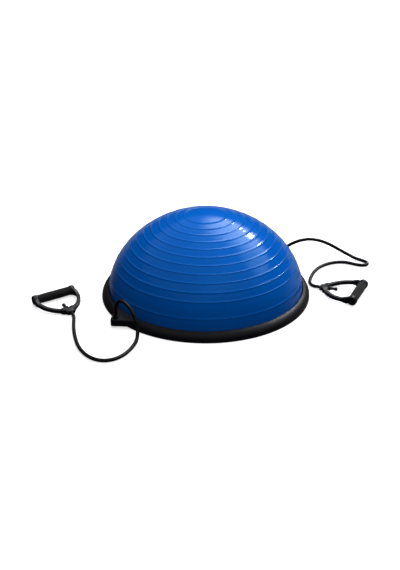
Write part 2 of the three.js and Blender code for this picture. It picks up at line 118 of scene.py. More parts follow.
class Graph:
    """A material's nodes, with the few kinds that every material here is made of."""

    def __init__(self, name):
        self.material = bpy.data.materials.new(name)
        self.material.use_nodes = True
        self.nodes = self.material.node_tree.nodes
        self.links = self.material.node_tree.links
        self.shader = self.nodes["Principled BSDF"]
        self.place = self.nodes.new("ShaderNodeTexCoord").outputs["Object"]

    def set(self, **values):
        for name, value in values.items():
            self.shader.inputs[name.replace("_", " ").title().replace("Ior", "IOR")].default_value = value

    def stretched(self, scale, turn=(0, 0, 0)):
        mapping = self.nodes.new("ShaderNodeMapping")
        mapping.inputs["Scale"].default_value = scale
        mapping.inputs["Rotation"].default_value = turn
        self.links.new(self.place, mapping.inputs["Vector"])
        return mapping.outputs["Vector"]

    def noise(self, scale, detail=3, roughness=0.55, where=None):
        node = self.nodes.new("ShaderNodeTexNoise")
        node.inputs["Scale"].default_value = scale
        node.inputs["Detail"].default_value = detail
        node.inputs["Roughness"].default_value = roughness
        self.links.new(where or self.place, node.inputs["Vector"])
        return node.outputs["Fac"]

    def cells(self, scale, feature="F1"):
        node = self.nodes.new("ShaderNodeTexVoronoi")
        node.feature = feature
        node.inputs["Scale"].default_value = scale
        self.links.new(self.place, node.inputs["Vector"])
        return node.outputs["Distance"]

    def ramp(self, value, low, high, to_low=0.0, to_high=1.0):
        node = self.nodes.new("ShaderNodeMapRange")
        node.inputs["From Min"].default_value = low
        node.inputs["From Max"].default_value = high
        node.inputs["To Min"].default_value = to_low
        node.inputs["To Max"].default_value = to_high
        self.links.new(value, node.inputs["Value"])
        return node.outputs["Result"]

    def math(self, operation, first, second=0.5):
        node = self.nodes.new("ShaderNodeMath")
        node.operation = operation
        for socket, value in zip(node.inputs, (first, second)):
            if isinstance(value, (int, float)):
                socket.default_value = value
            else:
                self.links.new(value, socket)
        return node.outputs["Value"]

    def mix(self, share, first, second):
        node = self.nodes.new("ShaderNodeMix")
        node.data_type = "RGBA"
        self.links.new(share, node.inputs["Factor"])
        colours = [socket for socket in node.inputs if socket.type == "RGBA"]
        for socket, value in zip(colours, (first, second)):
            if isinstance(value, tuple):
                socket.default_value = value
            else:
                self.links.new(value, socket)
        return next(socket for socket in node.outputs if socket.type == "RGBA")

    def bump(self, height, distance, strength=1.0, under=None):
        node = self.nodes.new("ShaderNodeBump")
        node.inputs["Strength"].default_value = strength
        node.inputs["Distance"].default_value = distance
        self.links.new(height, node.inputs["Height"])
        if under:
            self.links.new(under, node.inputs["Normal"])
        return node.outputs["Normal"]

    def finish(self, colour=None, roughness=None, normal=None):
        for name, value in (("Base Color", colour), ("Roughness", roughness), ("Normal", normal)):
            if value is not None:
                self.links.new(value, self.shader.inputs[name])
        return self.material


def dome_pvc():
    """Blown PVC: satin, with a faint pebbled skin, cloudy gloss and thin scuffs along the ribs."""
    graph = Graph("dome_pvc")
    graph.set(specular_ior_level=0.5, specular_tint=(0.3, 0.65, 1.0, 1))
    clouds = graph.noise(9, 4)
    pebble = graph.noise(620, 2)
    wipes = graph.noise(26, 5, 0.7, graph.stretched((1, 1, 5)))
    colour = graph.mix(graph.ramp(clouds, 0.3, 0.7), srgb(0, 93, 192), srgb(0, 99, 200))
    gloss = graph.math(
        "ADD", graph.ramp(clouds, 0.25, 0.75, 0.09, 0.12), graph.ramp(wipes, 0.3, 0.8, 0, 0.03))
    skin = graph.bump(pebble, 0.00006, 0.4)
    dents = graph.bump(graph.noise(16, 2), 0.001, 0.3, skin)
    return graph.finish(colour, gloss, dents)


def moulded(name, shades, gloss, grain=1500, depth=0.00006, specular=0.5):
    """Injection-moulded plastic: a spark-eroded grain, slight flow marks and handling wear in the gloss."""
    graph = Graph(name)
    graph.set(specular_ior_level=specular)
    flow = graph.noise(28, 4, 0.6, graph.stretched((1, 1, 2.5)))
    wear = graph.noise(140, 5, 0.7)
    colour = graph.mix(graph.ramp(flow, 0.3, 0.7), *shades)
    level = graph.math("ADD", graph.ramp(flow, 0.25, 0.75, *gloss), graph.ramp(wear, 0.55, 0.8, 0, 0.08))
    sparks = graph.bump(graph.noise(grain, 2), depth, 0.6)
    normal = graph.bump(graph.noise(45, 2), 0.0002, 0.3, sparks)
    return graph.finish(colour, level, normal)


def tube_rubber():
    """Extruded latex: smooth, with a dusty bloom and shallow unevenness along its length."""
    graph = Graph("tube_rubber")
    graph.set(specular_ior_level=0.35)
    bloom = graph.noise(70, 5, 0.65)
    colour = graph.mix(graph.ramp(bloom, 0.35, 0.75), srgb(9, 9, 12), srgb(20, 20, 24))
    gloss = graph.ramp(bloom, 0.3, 0.75, 0.34, 0.5)
    skin = graph.bump(graph.noise(900, 3), 0.00006, 0.6)
    return graph.finish(colour, gloss, graph.bump(graph.noise(120, 2), 0.0003, 0.3, skin))


def grip_foam():
    """Closed-cell foam: open pores in the skin, quite matt, a little paler where hands have rubbed it."""
    graph = Graph("grip_foam")
    graph.set(specular_ior_level=0.25, sheen_weight=0.08, sheen_roughness=0.6)
    pores = graph.cells(620)
    rubbed = graph.noise(60, 4)
    colour = graph.mix(graph.ramp(rubbed, 0.35, 0.75), srgb(9, 9, 11), srgb(18, 18, 21))
    gloss = graph.ramp(pores, 0.1, 0.6, 0.98, 0.84)
    cells = graph.bump(pores, 0.0004, 0.75)
    return graph.finish(colour, gloss, graph.bump(graph.noise(190, 4), 0.0005, 0.4, cells))


def screw_steel():
    """Plated steel: fine brushed arcs and dull spots."""
    graph = Graph("screw_steel")
    graph.set(metallic=1.0)
    brushed = graph.noise(2400, 3, 0.6, graph.stretched((1, 6, 1)))
    spots = graph.noise(500, 4)
    colour = graph.mix(graph.ramp(spots, 0.4, 0.7), srgb(176, 178, 182), srgb(150, 150, 150))
    gloss = graph.math("ADD", graph.ramp(brushed, 0.3, 0.7, 0.24, 0.34), graph.ramp(spots, 0.5, 0.8, 0, 0.2))
    return graph.finish(colour, gloss, graph.bump(brushed, 0.00003, 0.5))


MATERIALS = {
    "dome_pvc": dome_pvc(),
    "ring_plastic": moulded(
        "ring_plastic", (srgb(10, 11, 19), srgb(14, 14, 22)), (0.42, 0.52), 1500, 0.00006, 0.4),
    "plate_plastic": moulded(
        "plate_plastic", (srgb(22, 23, 26), srgb(29, 29, 32)), (0.52, 0.64), 1100, 0.0001),
    "tube_rubber": tube_rubber(),
    "valve_rubber": moulded(
        "valve_rubber", (srgb(18, 18, 20), srgb(26, 26, 28)), (0.5, 0.62), 1900, 0.00005),
    "stopper_plastic": moulded(
        "stopper_plastic", (srgb(24, 24, 28), srgb(34, 34, 38)), (0.42, 0.52), 2200, 0.00004),
    "handle_plastic": moulded(
        "handle_plastic", (srgb(15, 15, 20), srgb(23, 23, 29)), (0.3, 0.42), 1800, 0.00006, 0.6),
    "grip_foam": grip_foam(),
    "foot_rubber": moulded(
        "foot_rubber", (srgb(16, 16, 17), srgb(28, 27, 27)), (0.66, 0.8), 900, 0.00012),
    "screw_steel": screw_steel(),
}


# ---------------------------------------------------------------- mesh helpers

def catmull_rom(points, between):
    """Points on the centripetal curve through the given ones, with some more between each two."""
    line = [Vector(point) for point in points]
    ends = [2 * line[0] - line[1], *line, 2 * line[-1] - line[-2]]
    found = []
    for start, (before, here, there, after) in enumerate(zip(ends, ends[1:], ends[2:], ends[3:])):
        leave, arrive = tangents(before, here, there, after)
        for step in range(between):
            t = step / between
            found.append(
                here * (2 * t**3 - 3 * t**2 + 1) + leave * (t**3 - 2 * t**2 + t)
                + there * (3 * t**2 - 2 * t**3) + arrive * (t**3 - t**2))
    return [*found, line[-1]]


def tangents(before, here, there, after):
    """How the centripetal curve leaves one point and arrives at the next, for the stretch between them."""
    first, middle, last = [
        math.sqrt((b - a).length) for a, b in ((before, here), (here, there), (there, after))]
    leave = (here - before) / first - (there - before) / (first + middle) + (there - here) / middle
    arrive = (there - here) / middle - (after - here) / (middle + last) + (after - there) / last
    return leave * middle, arrive * middle


def rounded(points, radius, closed=True, steps=4, straight=172):
    """A profile with its corners rounded. Corners straighter than a number of degrees stay one point."""
    line = [Vector(point) for point in points]
    found = []
    for index, here in enumerate(line):
        before, after = line[index - 1], line[(index + 1) % len(line)]
        back, on = before - here, after - here
        end = not closed and index in (0, len(line) - 1)
        if end or back.angle(on) > math.radians(straight):
            found.append(here)
            continue
        turn = math.pi - back.angle(on)
        reach = min(max(radius * math.tan(turn / 2), 0.05), 0.45 * back.length, 0.45 * on.length)
        start, stop = here + back.normalized() * reach, here + on.normalized() * reach
        for step in range(steps + 1):
            t = step / steps
            found.append(start * (1 - t) ** 2 + here * 2 * t * (1 - t) + stop * t**2)
    return found


def make_object(name, mesh):
    made = bpy.data.objects.new(name, mesh)
    bpy.context.scene.collection.objects.link(made)
    return made


def solid(points, faces, name="tool", matrix=ORIGIN):
    """A closed mesh from millimetre points, put in place by a matrix in metres."""
    mesh = bpy.data.meshes.new(name)
    mesh.from_pydata([matrix @ (Vector(point) * MM) for point in points], [], faces)
    shell = bmesh.new()
    shell.from_mesh(mesh)
    bmesh.ops.recalc_face_normals(shell, faces=shell.faces)
    shell.to_mesh(mesh)
    shell.free()
    return make_object(name, mesh)


def tubular(rows, caps=True):
    """Faces that join rows of equally many vertices, each row a closed ring."""
    count = len(rows[0])
    faces = []
    for low, high in zip(rows, rows[1:]):
        for i in range(count):
            j = (i + 1) % count
            face = list(dict.fromkeys((low[i], low[j], high[j], high[i])))
            if len(face) > 2:
                faces.append(face)
    if caps:
        faces += [list(rows[0]), list(rows[-1])]
    return faces


def turned(profile, facets=96, name="tool", matrix=ORIGIN):
    """A solid turned about Z from (radius, height) points. It closes on the axis or on itself."""
    points, rows = [], []
    for radius, height in profile:
        if radius < 1e-6:
            rows.append([len(points)] * facets)
            points.append((0, 0, height))
            continue
        rows.append(list(range(len(points), len(points) + facets)))
        for i in range(facets):
            angle = 2 * math.pi * i / facets
            points.append((radius * math.cos(angle), radius * math.sin(angle), height))
    if rows[0][0] != rows[0][1] or rows[-1][0] != rows[-1][1]:
        rows.append(rows[0])
    return solid(points, tubular(rows, caps=False), name, matrix)


def lofted(sections, name="tool", matrix=ORIGIN):
    """A solid through sections of equally many points."""
    count = len(sections[0])
    rows = [list(range(k * count, (k + 1) * count)) for k in range(len(sections))]
    return solid([point for section in sections for point in section], tubular(rows), name, matrix)


def block(low, high, matrix=ORIGIN):
    """A box between two opposite corners."""
    corners = ((low[0], low[1]), (high[0], low[1]), (high[0], high[1]), (low[0], high[1]))
    return lofted([[(x, y, z) for x, y in corners] for z in (low[2], high[2])], "tool", matrix)


def apply_modifiers(target):
    bpy.context.view_layer.update()
    shown = target.evaluated_get(bpy.context.evaluated_depsgraph_get())
    old, target.data = target.data, bpy.data.meshes.new_from_object(shown)
    target.modifiers.clear()
    name = old.name
    bpy.data.meshes.remove(old)
    target.data.name = name


def combine(target, tools, operation):
    """Adds or subtracts tools that lie clear of each other, all in one step."""
    gathered = bmesh.new()
    for tool in tools:
        gathered.from_mesh(tool.data)
        bpy.data.meshes.remove(tool.data)
    mesh = bpy.data.meshes.new("tools")
    gathered.to_mesh(mesh)
    gathered.free()
    change = target.modifiers.new("combine", "BOOLEAN")
    change.operation = operation
    change.solver = "EXACT"
    change.object = make_object("tools", mesh)
    apply_modifiers(target)
    bpy.data.meshes.remove(mesh)


def add(target, *tools):
    combine(target, tools, "UNION")


def cut(target, *tools):
    combine(target, tools, "DIFFERENCE")


def copied(made, matrix):
    """A copy of a finished mesh, put in place by a matrix in metres."""
    mesh = made.data.copy()
    mesh.transform(matrix)
    return make_object("copy", mesh)


def piece(made, name, body, slot, *nodes, sharp=38):
    """Names, shades, colours and attaches a finished mesh, and hides the CAD nodes that it stands for."""
    made.name = made.data.name = name
    made.data.shade_smooth()
    made.data.set_sharp_from_angle(angle=math.radians(sharp))
    made.data.materials.clear()
    made.data.materials.append(MATERIALS[slot])
    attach(made, body)
    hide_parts(*nodes)
    return made


def at_angle(angle, radius=0.0, height=0.0):
    return Matrix.Rotation(angle, 4, "Z") @ Matrix.Translation((radius * MM, 0, height * MM))


# ---------------------------------------------------------------- stretch tubes

TUBE_RADIUS = 5
LUG_HOLE_AT = 317
LUG_BOTTOM = 5
LUG_TOP = 25
# The routes of part.mjs, in metres. 18 left and 12 right points are a smoothing script's output.
ROUTES = {
    "left": [
        (-0.317, 0, 0.014), (-0.317, 0, 0.024), (-0.317, 0, 0.033), (-0.3172, -0.0007, 0.046),
        (-0.3173, -0.0059, 0.0657), (-0.3166, -0.018, 0.0819), (-0.3151, -0.0362, 0.087),
        (-0.313, -0.0558, 0.081), (-0.3112, -0.073, 0.0662), (-0.311, -0.0855, 0.0476),
        (-0.3137, -0.0948, 0.0292), (-0.3207, -0.103, 0.0147), (-0.3319, -0.1119, 0.0064),
        (-0.3483, -0.1231, 0.0053), (-0.3695, -0.135, 0.0053), (-0.3955, -0.1447, 0.0053),
        (-0.4223, -0.1465, 0.0053), (-0.4458, -0.1377, 0.0053), (-0.4613, -0.1179, 0.0053),
        (-0.4675, -0.0911, 0.0053), (-0.4656, -0.0606, 0.0053), (-0.4571, -0.0281, 0.0053),
        (-0.4436, 0.0042, 0.0053), (-0.4276, 0.0358, 0.0053), (-0.4108, 0.0646, 0.0053),
        (-0.3946, 0.0892, 0.0053), (-0.3812, 0.1108, 0.006),
    ],
    "right": [
        (0.317, 0, 0.014), (0.317, 0, 0.024), (0.317, 0, 0.033), (0.318, -0.0007, 0.042),
        (0.3232, -0.0041, 0.0515), (0.3335, -0.011, 0.0595), (0.345, -0.0185, 0.0655),
        (0.3583, -0.0271, 0.0703), (0.38, -0.041, 0.0731), (0.4037, -0.0556, 0.0686),
        (0.4276, -0.07, 0.0577), (0.4508, -0.0835, 0.0425), (0.4718, -0.0971, 0.0265),
        (0.4898, -0.1117, 0.0133), (0.4981, -0.1335, 0.0065), (0.5032, -0.1527, 0.0053),
        (0.5043, -0.17, 0.0053), (0.4999, -0.1814, 0.0053), (0.489, -0.1858, 0.0053),
        (0.4775, -0.1808, 0.0053), (0.4679, -0.1675, 0.0053), (0.4607, -0.1491, 0.0053),
        (0.453, -0.1331, 0.0053), (0.4401, -0.1199, 0.0053), (0.4202, -0.1095, 0.0053),
        (0.3956, -0.1045, 0.0053), (0.3683, -0.1054, 0.0053), (0.3416, -0.1127, 0.0053),
        (0.3173, -0.1242, 0.0053), (0.2966, -0.1368, 0.0053), (0.2798, -0.1486, 0.0053),
        (0.2675, -0.1603, 0.0053), (0.2603, -0.1736, 0.0054), (0.2594, -0.1876, 0.0061),
    ],
}
LEAD_IN = (HUB_OUTSIDE + 8, HUB_OUTSIDE, HUB_AT, HUB_INSIDE + 1)


def make_tube(side):
    """A curve of one spline through the route's points, straight through the hub at its far end."""
    points = [Vector(point) for point in ROUTES[side]]
    points += [HANDLE[side] @ Vector((0, along * MM, 0)) for along in LEAD_IN]
    curve = bpy.data.curves.new(f"stretch_tube_{side}", "CURVE")
    curve.dimensions = "3D"
    curve.bevel_depth = TUBE_RADIUS * MM
    curve.bevel_resolution = 6
    curve.resolution_u = 10
    curve.use_fill_caps = True
    spline = curve.splines.new("BEZIER")
    spline.bezier_points.add(len(points) - 1)
    ends = [2 * points[0] - points[1], *points, 2 * points[-1] - points[-2]]
    for knot, point in zip(spline.bezier_points, points):
        knot.co = knot.handle_left = knot.handle_right = point
        knot.handle_left_type = knot.handle_right_type = "FREE"
    knots = spline.bezier_points
    for index in range(len(points) - 1):
        leave, arrive = tangents(*ends[index:index + 4])
        knots[index].handle_right = points[index] + leave / 3
        knots[index + 1].handle_left = points[index + 1] - arrive / 3
    tube = make_object(curve.name, curve)
    curve.materials.append(MATERIALS["tube_rubber"])
    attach(tube, "root")
    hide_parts(f"tube_{side}")
    return tube


tubes = {side: make_tube(side) for side in SIDES}


# ---------------------------------------------------------------- dome skin

DOME_RADIUS = 279.5
DOME_RISE = 227
DOME_EQUATOR = 20
DOME_POWER = 1.87
DOME_WALL = 2.2
DOME_FACETS = 256
FLANGE_RADIUS = 286.2
FLANGE_TOP = 11.7
FLANGE_BOTTOM = 8.7
BEAD_BOTTOM = 5
RIBS = [61.5 + 25 * i for i in range(11)]
RIBS.append(RIBS[-1] + 43.8)
RIB_HEIGHT = 0.6
RIB_HALF_WIDTH = 1.3

walk = np.linspace(0, math.pi / 2, 6001)
skin_radius = DOME_RADIUS * np.sin(walk) ** (2 / DOME_POWER)
skin_height = DOME_EQUATOR + DOME_RISE * np.clip(np.cos(walk), 0, 1) ** (2 / DOME_POWER)
steps_along = np.hypot(np.diff(skin_radius), np.diff(skin_height))
skin_distance = np.concatenate([[0], np.cumsum(steps_along)])
SKIN_LENGTH = float(skin_distance[-1])


def skin_at(distance, offset=0.0):
    """The skin's (radius, height) at a distance from the top's centre, moved outwards by an offset."""
    here = np.array([np.interp(distance, skin_distance, line) for line in (skin_radius, skin_height)])
    reach = 0.5
    ends = [np.array([np.interp(d, skin_distance, line) for line in (skin_radius, skin_height)])
            for d in (max(distance - reach, 0), min(distance + reach, SKIN_LENGTH))]
    along = (ends[1] - ends[0]) / np.linalg.norm(ends[1] - ends[0])
    moved = here + np.array([-along[1], along[0]]) * offset
    return max(float(moved[0]), 0.0), float(moved[1])


def rib_offset(distance):
    nearest = min(abs(distance - rib) for rib in RIBS)
    if nearest >= RIB_HALF_WIDTH:
        return 0.0
    return RIB_HEIGHT * (0.5 + 0.5 * math.cos(math.pi * nearest / RIB_HALF_WIDTH)) ** 0.8


def dome_profile():
    beads = np.linspace(-1, 1, 9) * RIB_HALF_WIDTH
    stations = {0.0, SKIN_LENGTH}
    stations.update(float(rib + bead) for rib in RIBS for bead in beads)
    for low, high in zip([0, *RIBS], [*RIBS, SKIN_LENGTH]):
        room = high - low - 2 * RIB_HALF_WIDTH
        count = max(2, round(room / 6))
        stations.update(low + RIB_HALF_WIDTH + room * i / count for i in range(1, count))
    outside = [skin_at(s, rib_offset(s)) for s in sorted(stations)]
    outside[0] = (0, DOME_EQUATOR + DOME_RISE)
    foot = rounded([
        (DOME_RADIUS, DOME_EQUATOR - 2), (DOME_RADIUS, FLANGE_TOP), (FLANGE_RADIUS, FLANGE_TOP),
        (FLANGE_RADIUS, BEAD_BOTTOM), (FLANGE_RADIUS - 3, BEAD_BOTTOM), (FLANGE_RADIUS - 3, FLANGE_BOTTOM),
        (DOME_RADIUS - DOME_WALL, FLANGE_BOTTOM), (DOME_RADIUS - DOME_WALL, DOME_EQUATOR),
    ], 0.8, closed=False, steps=3)
    inner_steps = 36
    inside = [skin_at(SKIN_LENGTH * i / inner_steps, -DOME_WALL) for i in range(inner_steps - 1, 0, -1)]
    return [*outside, *[tuple(p) for p in foot], *inside, (0, DOME_EQUATOR + DOME_RISE - DOME_WALL)]


VALVE_NECK = 6
valve_axis = Vector(joints["air_plug_pull"]["axis"]).normalized()
valve_seat = skin_at(RIBS[-2] + (RIBS[-1] - RIBS[-2]) / 2)
VALVE = Matrix.Translation((0, valve_seat[0] * MM, valve_seat[1] * MM)) @ (
    valve_axis.to_track_quat("Z", "X").to_matrix().to_4x4())

dome = turned(dome_profile(), DOME_FACETS, "skin")
VALVE_CUT_REACH = 14
cut(dome, turned([
    (0, -VALVE_CUT_REACH), (VALVE_NECK + 0.3, -VALVE_CUT_REACH),
    (VALVE_NECK + 0.3, VALVE_CUT_REACH), (0, VALVE_CUT_REACH),
], 40, matrix=VALVE))
piece(dome, "dome_skin", "root", "dome_pvc", "dome_bladder", sharp=50)

FLOOR_RADIUS = 268
FLOOR_BOTTOM = 4.3
FLOOR_TOP = FLOOR_BOTTOM + 2
bottom_sheet = turned(rounded(
    [(0, FLOOR_BOTTOM), (FLOOR_RADIUS, FLOOR_BOTTOM), (FLOOR_RADIUS, FLOOR_TOP), (0, FLOOR_TOP)],
    0.7, closed=False), 192)
piece(bottom_sheet, "bottom_sheet", "root", "dome_pvc", "bladder_floor")


# ---------------------------------------------------------------- air valve

FLANGE_SEAT = 0.7
GROMMET_TOP = FLANGE_SEAT + 1.2
GROMMET_BASE = -DOME_WALL - 4.4
grommet = turned(rounded([
    (9, GROMMET_BASE), (9, GROMMET_BASE + 1.2), (VALVE_NECK, GROMMET_BASE + 1.2), (VALVE_NECK, FLANGE_SEAT),
    (9, FLANGE_SEAT), (9, GROMMET_TOP), (4, GROMMET_TOP), (4, GROMMET_BASE),
], 0.4), 48, matrix=VALVE)
piece(grommet, "valve_collar", "root", "valve_rubber", "valve_grommet")

PLUG_SEAT = GROMMET_TOP + 0.3
plug = turned(rounded([
    (0, PLUG_SEAT - 14), (2.6, PLUG_SEAT - 14), (3.7, PLUG_SEAT - 9), (3.4, PLUG_SEAT - 6.4),
    (3.7, PLUG_SEAT - 5.6), (3.4, PLUG_SEAT - 3), (3.6, PLUG_SEAT), (7, PLUG_SEAT), (7, PLUG_SEAT + 1.2),
    (5.6, PLUG_SEAT + 2.3), (4.2, PLUG_SEAT + 2.3), (3.4, PLUG_SEAT + 1.7), (0, PLUG_SEAT + 1.5),
], 0.35, closed=False), 48, matrix=VALVE)
piece(plug, "valve_stopper", "air_plug", "stopper_plastic", "air_plug")


# ---------------------------------------------------------------- base ring

RING_FACETS = 256
LIP_RADIUS = 280.5
LIP_TOP = 27
WALL_INSIDE = 296.4
SCREW_CIRCLE = 291
SCREW_ANGLES = [(i + 0.5) / 8 * 2 * math.pi for i in range(8)]
LUG_ANGLES = {"left": math.pi, "right": 0.0}
LUG_APEX = 335
LUG_ROUNDING = 2.2
LUG_EDGE = ((1.4, 0), (0.6, 0.8), (0, 1.6))    # inset and height of the lug's rounded lower edge
LUG_CUTTER = [(0, -5), (297.4, -5), (297.4, 8), (292.4, 18), (286.2, 24), (286.2, 40), (0, 40)]
BOSS_RADIUS = 4.2
BOSS_BOTTOM = 9.1
BOSS_TOP = 16.5
SCREW_TOP = 14


def ring_profile():
    crest = catmull_rom(
        [(300, 5, 0), (298.6, 11, 0), (295.2, 17.5, 0), (289.6, 23.4, 0), (282.4, LIP_TOP, 0)], 5)
    corners = [
        (WALL_INSIDE, 0), (298.6, 0), (300, 1.6), *[(p.x, p.y) for p in crest],
        (LIP_RADIUS, LIP_TOP - 1), (LIP_RADIUS, 12), (LIP_RADIUS + 3, 12), (LIP_RADIUS + 3, 22.5),
        (290.4, 17.6), (WALL_INSIDE, 8),
    ]
    return rounded(corners, 0.9, steps=3)


def lug_outline(inset):
    """The lug in plan, pulled in by an inset: flanks swept out of the ring to a square corner."""
    flank = [Vector(point) for point in ((272, -68), (280, -68), (290, -51), (300.6, -35), (315, -20))]
    half = [*flank, Vector((LUG_APEX + 2.2, 0))]
    whole = half + [Vector((p.x, -p.y)) for p in reversed(half[:-1])]
    line = rounded(whole, 9, steps=8)
    found = []
    for index, here in enumerate(line):
        along = line[(index + 1) % len(line)] - line[index - 1]
        inward = Vector((-along.y, along.x)).normalized()
        found.append(here + inward * inset)
    return found


def lug(angle):
    """The lug that a tube leaves, cut clear of the ring's hollow."""
    sections = [[(*p, LUG_BOTTOM + up) for p in lug_outline(inset)] for inset, up in LUG_EDGE]
    for step in range(6):
        turn = math.pi / 2 * step / 5
        inset = LUG_ROUNDING * (1 - math.cos(turn))
        height = LUG_TOP - LUG_ROUNDING * (1 - math.sin(turn))
        sections.append([(*p, height) for p in lug_outline(inset)])
    made = lofted(sections, matrix=at_angle(angle))
    cut(made, turned(LUG_CUTTER, RING_FACETS))
    return made


def boss(angle):
    """The post in the ring that a plate screw goes into."""
    profile = [(0, BOSS_BOTTOM), (BOSS_RADIUS, BOSS_BOTTOM), (BOSS_RADIUS, BOSS_TOP), (0, BOSS_TOP)]
    return turned(rounded(profile, 0.4, closed=False, steps=2), 24, matrix=at_angle(angle, SCREW_CIRCLE))


def bore(radius, low, high, angle, from_axis, facets=32):
    """A round upright tool, at an angle and a distance from the axis."""
    profile = [(0, low), (radius, low), (radius, high), (0, high)]
    return turned(profile, facets, matrix=at_angle(angle, from_axis))


ring = turned(ring_profile(), RING_FACETS)
add(ring, *[lug(angle) for angle in LUG_ANGLES.values()], *[boss(angle) for angle in SCREW_ANGLES])
cut(ring, *[bore(6, -1, LUG_TOP + 4, angle, LUG_HOLE_AT) for angle in LUG_ANGLES.values()],
    *[bore(2, 8, SCREW_TOP + 1, angle, SCREW_CIRCLE, 20) for angle in SCREW_ANGLES])
cut(ring, *[bore(8.6, -1, 13, angle, LUG_HOLE_AT) for angle in LUG_ANGLES.values()])
piece(ring, "rim_ring", "root", "ring_plastic", "base_ring", sharp=32)


# ---------------------------------------------------------------- platform

PLATE_TOP = 4
PLATE_GROUND = 1
FOOT_CIRCLE = 234
FOOT_RADIUS = 16
FOOT_ANGLES = [(i + 0.5) / 6 * 2 * math.pi for i in range(6)]
SPOKES = 24


def plate_profile():
    under = [(0, 0), (35, 0), (35, PLATE_GROUND)]
    for radius in (90, 170, 256):
        under += [(radius - 2, PLATE_GROUND), (radius - 2, 0), (radius + 2, 0), (radius + 2, PLATE_GROUND)]
    return rounded([
        *under, (293, PLATE_GROUND), (294, PLATE_GROUND + 1), (294, 8.4), (287, 8.4), (287, PLATE_TOP),
        (282.4, PLATE_TOP), (282.4, 8.4), (270, 8.4), (269, PLATE_TOP), (0, PLATE_TOP),
    ], 0.4, closed=False, steps=2)


plate = turned(plate_profile(), 192)
SPOKE_LOW = (93.5, -1.1, 0.1)
SPOKE_HIGH = (166.5, 1.1, 2)
add(plate, *[block(SPOKE_LOW, SPOKE_HIGH, at_angle(2 * math.pi * i / SPOKES)) for i in range(SPOKES)])
cut(plate, *[bore(2, -1, 10, angle, SCREW_CIRCLE, 20) for angle in SCREW_ANGLES],
    *[bore(FOOT_RADIUS + 0.3, -1, 2.9, angle, FOOT_CIRCLE, 48) for angle in FOOT_ANGLES])
cut(plate, *[bore(2.5, -1, 3.3, angle, SCREW_CIRCLE, 24) for angle in SCREW_ANGLES])
piece(plate, "platform", "root", "plate_plastic", "base_plate", sharp=32)


def screw():
    """A pan head with a cross recess, on a shank with a few shallow thread ridges."""
    thread = []
    for turn_index in range(10):
        low = 3.6 + turn_index
        thread += [(1.45, low), (1.7, low + 0.4)]
    made = turned(rounded([
        (0, 1.4), (1.7, 1.4), (2.2, 1.9), (2.2, 3), (1.45, 3), *thread, (1.2, SCREW_TOP), (0, SCREW_TOP),
    ], 0.12, closed=False, steps=2), 24)
    for turn in (0, math.pi / 2):
        cut(made, block((-1.2, -0.28, 1), (1.2, 0.28, 2.1), Matrix.Rotation(turn, 4, "Z")))
    return made


screw_pattern = screw()
for index, angle in enumerate(SCREW_ANGLES, start=1):
    one = copied(screw_pattern, at_angle(angle, SCREW_CIRCLE))
    piece(one, f"screw_{index:02d}", "root", "screw_steel", f"plate_screw_{index:02d}", sharp=30)
bpy.data.meshes.remove(screw_pattern.data)

for index, angle in enumerate(FOOT_ANGLES, start=1):
    foot = turned(rounded([
        (0, 0.7), (5, 0.7), (5, 0), (7.4, 0), (7.4, 0.6), (9.2, 0.6), (9.2, 0), (11.6, 0), (11.6, 0.6),
        (13.4, 0.6), (13.4, 0), (FOOT_RADIUS - 0.4, 0), (FOOT_RADIUS, 0.6), (FOOT_RADIUS, 2.6), (0, 2.6),
    ], 0.25, closed=False, steps=2), 64, matrix=at_angle(angle, FOOT_CIRCLE))
    piece(foot, f"foot_{index}", "root", "foot_rubber", f"foot_pad_{index}")


# ---------------------------------------------------------------- handles

SLEEVE_HALF = 51
SLEEVE_RADIUS = 13
EYE_THICKNESS = 7
EYE_AT = SLEEVE_HALF + 0.3 + EYE_THICKNESS / 2
EYE_OUTSIDE = EYE_AT + EYE_THICKNESS / 2
EYE_RADIUS = 14.4
BOW_HALF_WIDTH = 5
BOW_HALF_THICKNESS = 5.5
HUB_HALF_WIDTH = 14
HUB_HALF_THICKNESS = 7.5
SLOT_HALF = 5
SLOT_FLOOR = 5.9


def smooth_step(value, low, high):
    share = min(max((value - low) / (high - low), 0), 1)
    return share * share * (3 - 2 * share)


def bow_section(half_width, half_thickness, groove):
    """Across the bow: two rims with a recessed web between them, on the inner and the outer side."""
    a, b, g = half_width, half_thickness, groove
    web, rim = 0.42 * b, 0.58 * b
    corners = [
        (-a, -b), (a, -b), (a, -rim), (a - g, -web), (a - g, web), (a, rim), (a, b), (-a, b), (-a, rim),
        (g - a, web), (g - a, -web), (-a, -rim),
    ]
    return rounded(corners, 0.9, steps=3, straight=181)


def bow_blank():
    half = [(EYE_AT, 0), (60, 20), (58, 38), (51, 57), (41, 72), (28, 85), (12, 95)]
    line = [(x, y, 0) for x, y in half] + [(0, 98, 0)] + [(-x, y, 0) for x, y in reversed(half)]
    path = catmull_rom(line, 8)
    sections = []
    for index, here in enumerate(path):
        along = (path[min(index + 1, len(path) - 1)] - path[max(index - 1, 0)]).normalized()
        side = Vector((along.y, -along.x, 0))
        to_pads = 1 - smooth_step(abs(here.x), 15, 23)
        to_eye = 1 - smooth_step(here.y, 12, 34)
        section = bow_section(
            BOW_HALF_WIDTH + 3.0 * to_pads, BOW_HALF_THICKNESS + 2.2 * to_pads + 4.5 * to_eye,
            1.5 * (1 - max(to_pads, to_eye)))
        sections.append([tuple(here + side * across + UP * up) for across, up in section])
    return lofted(sections)


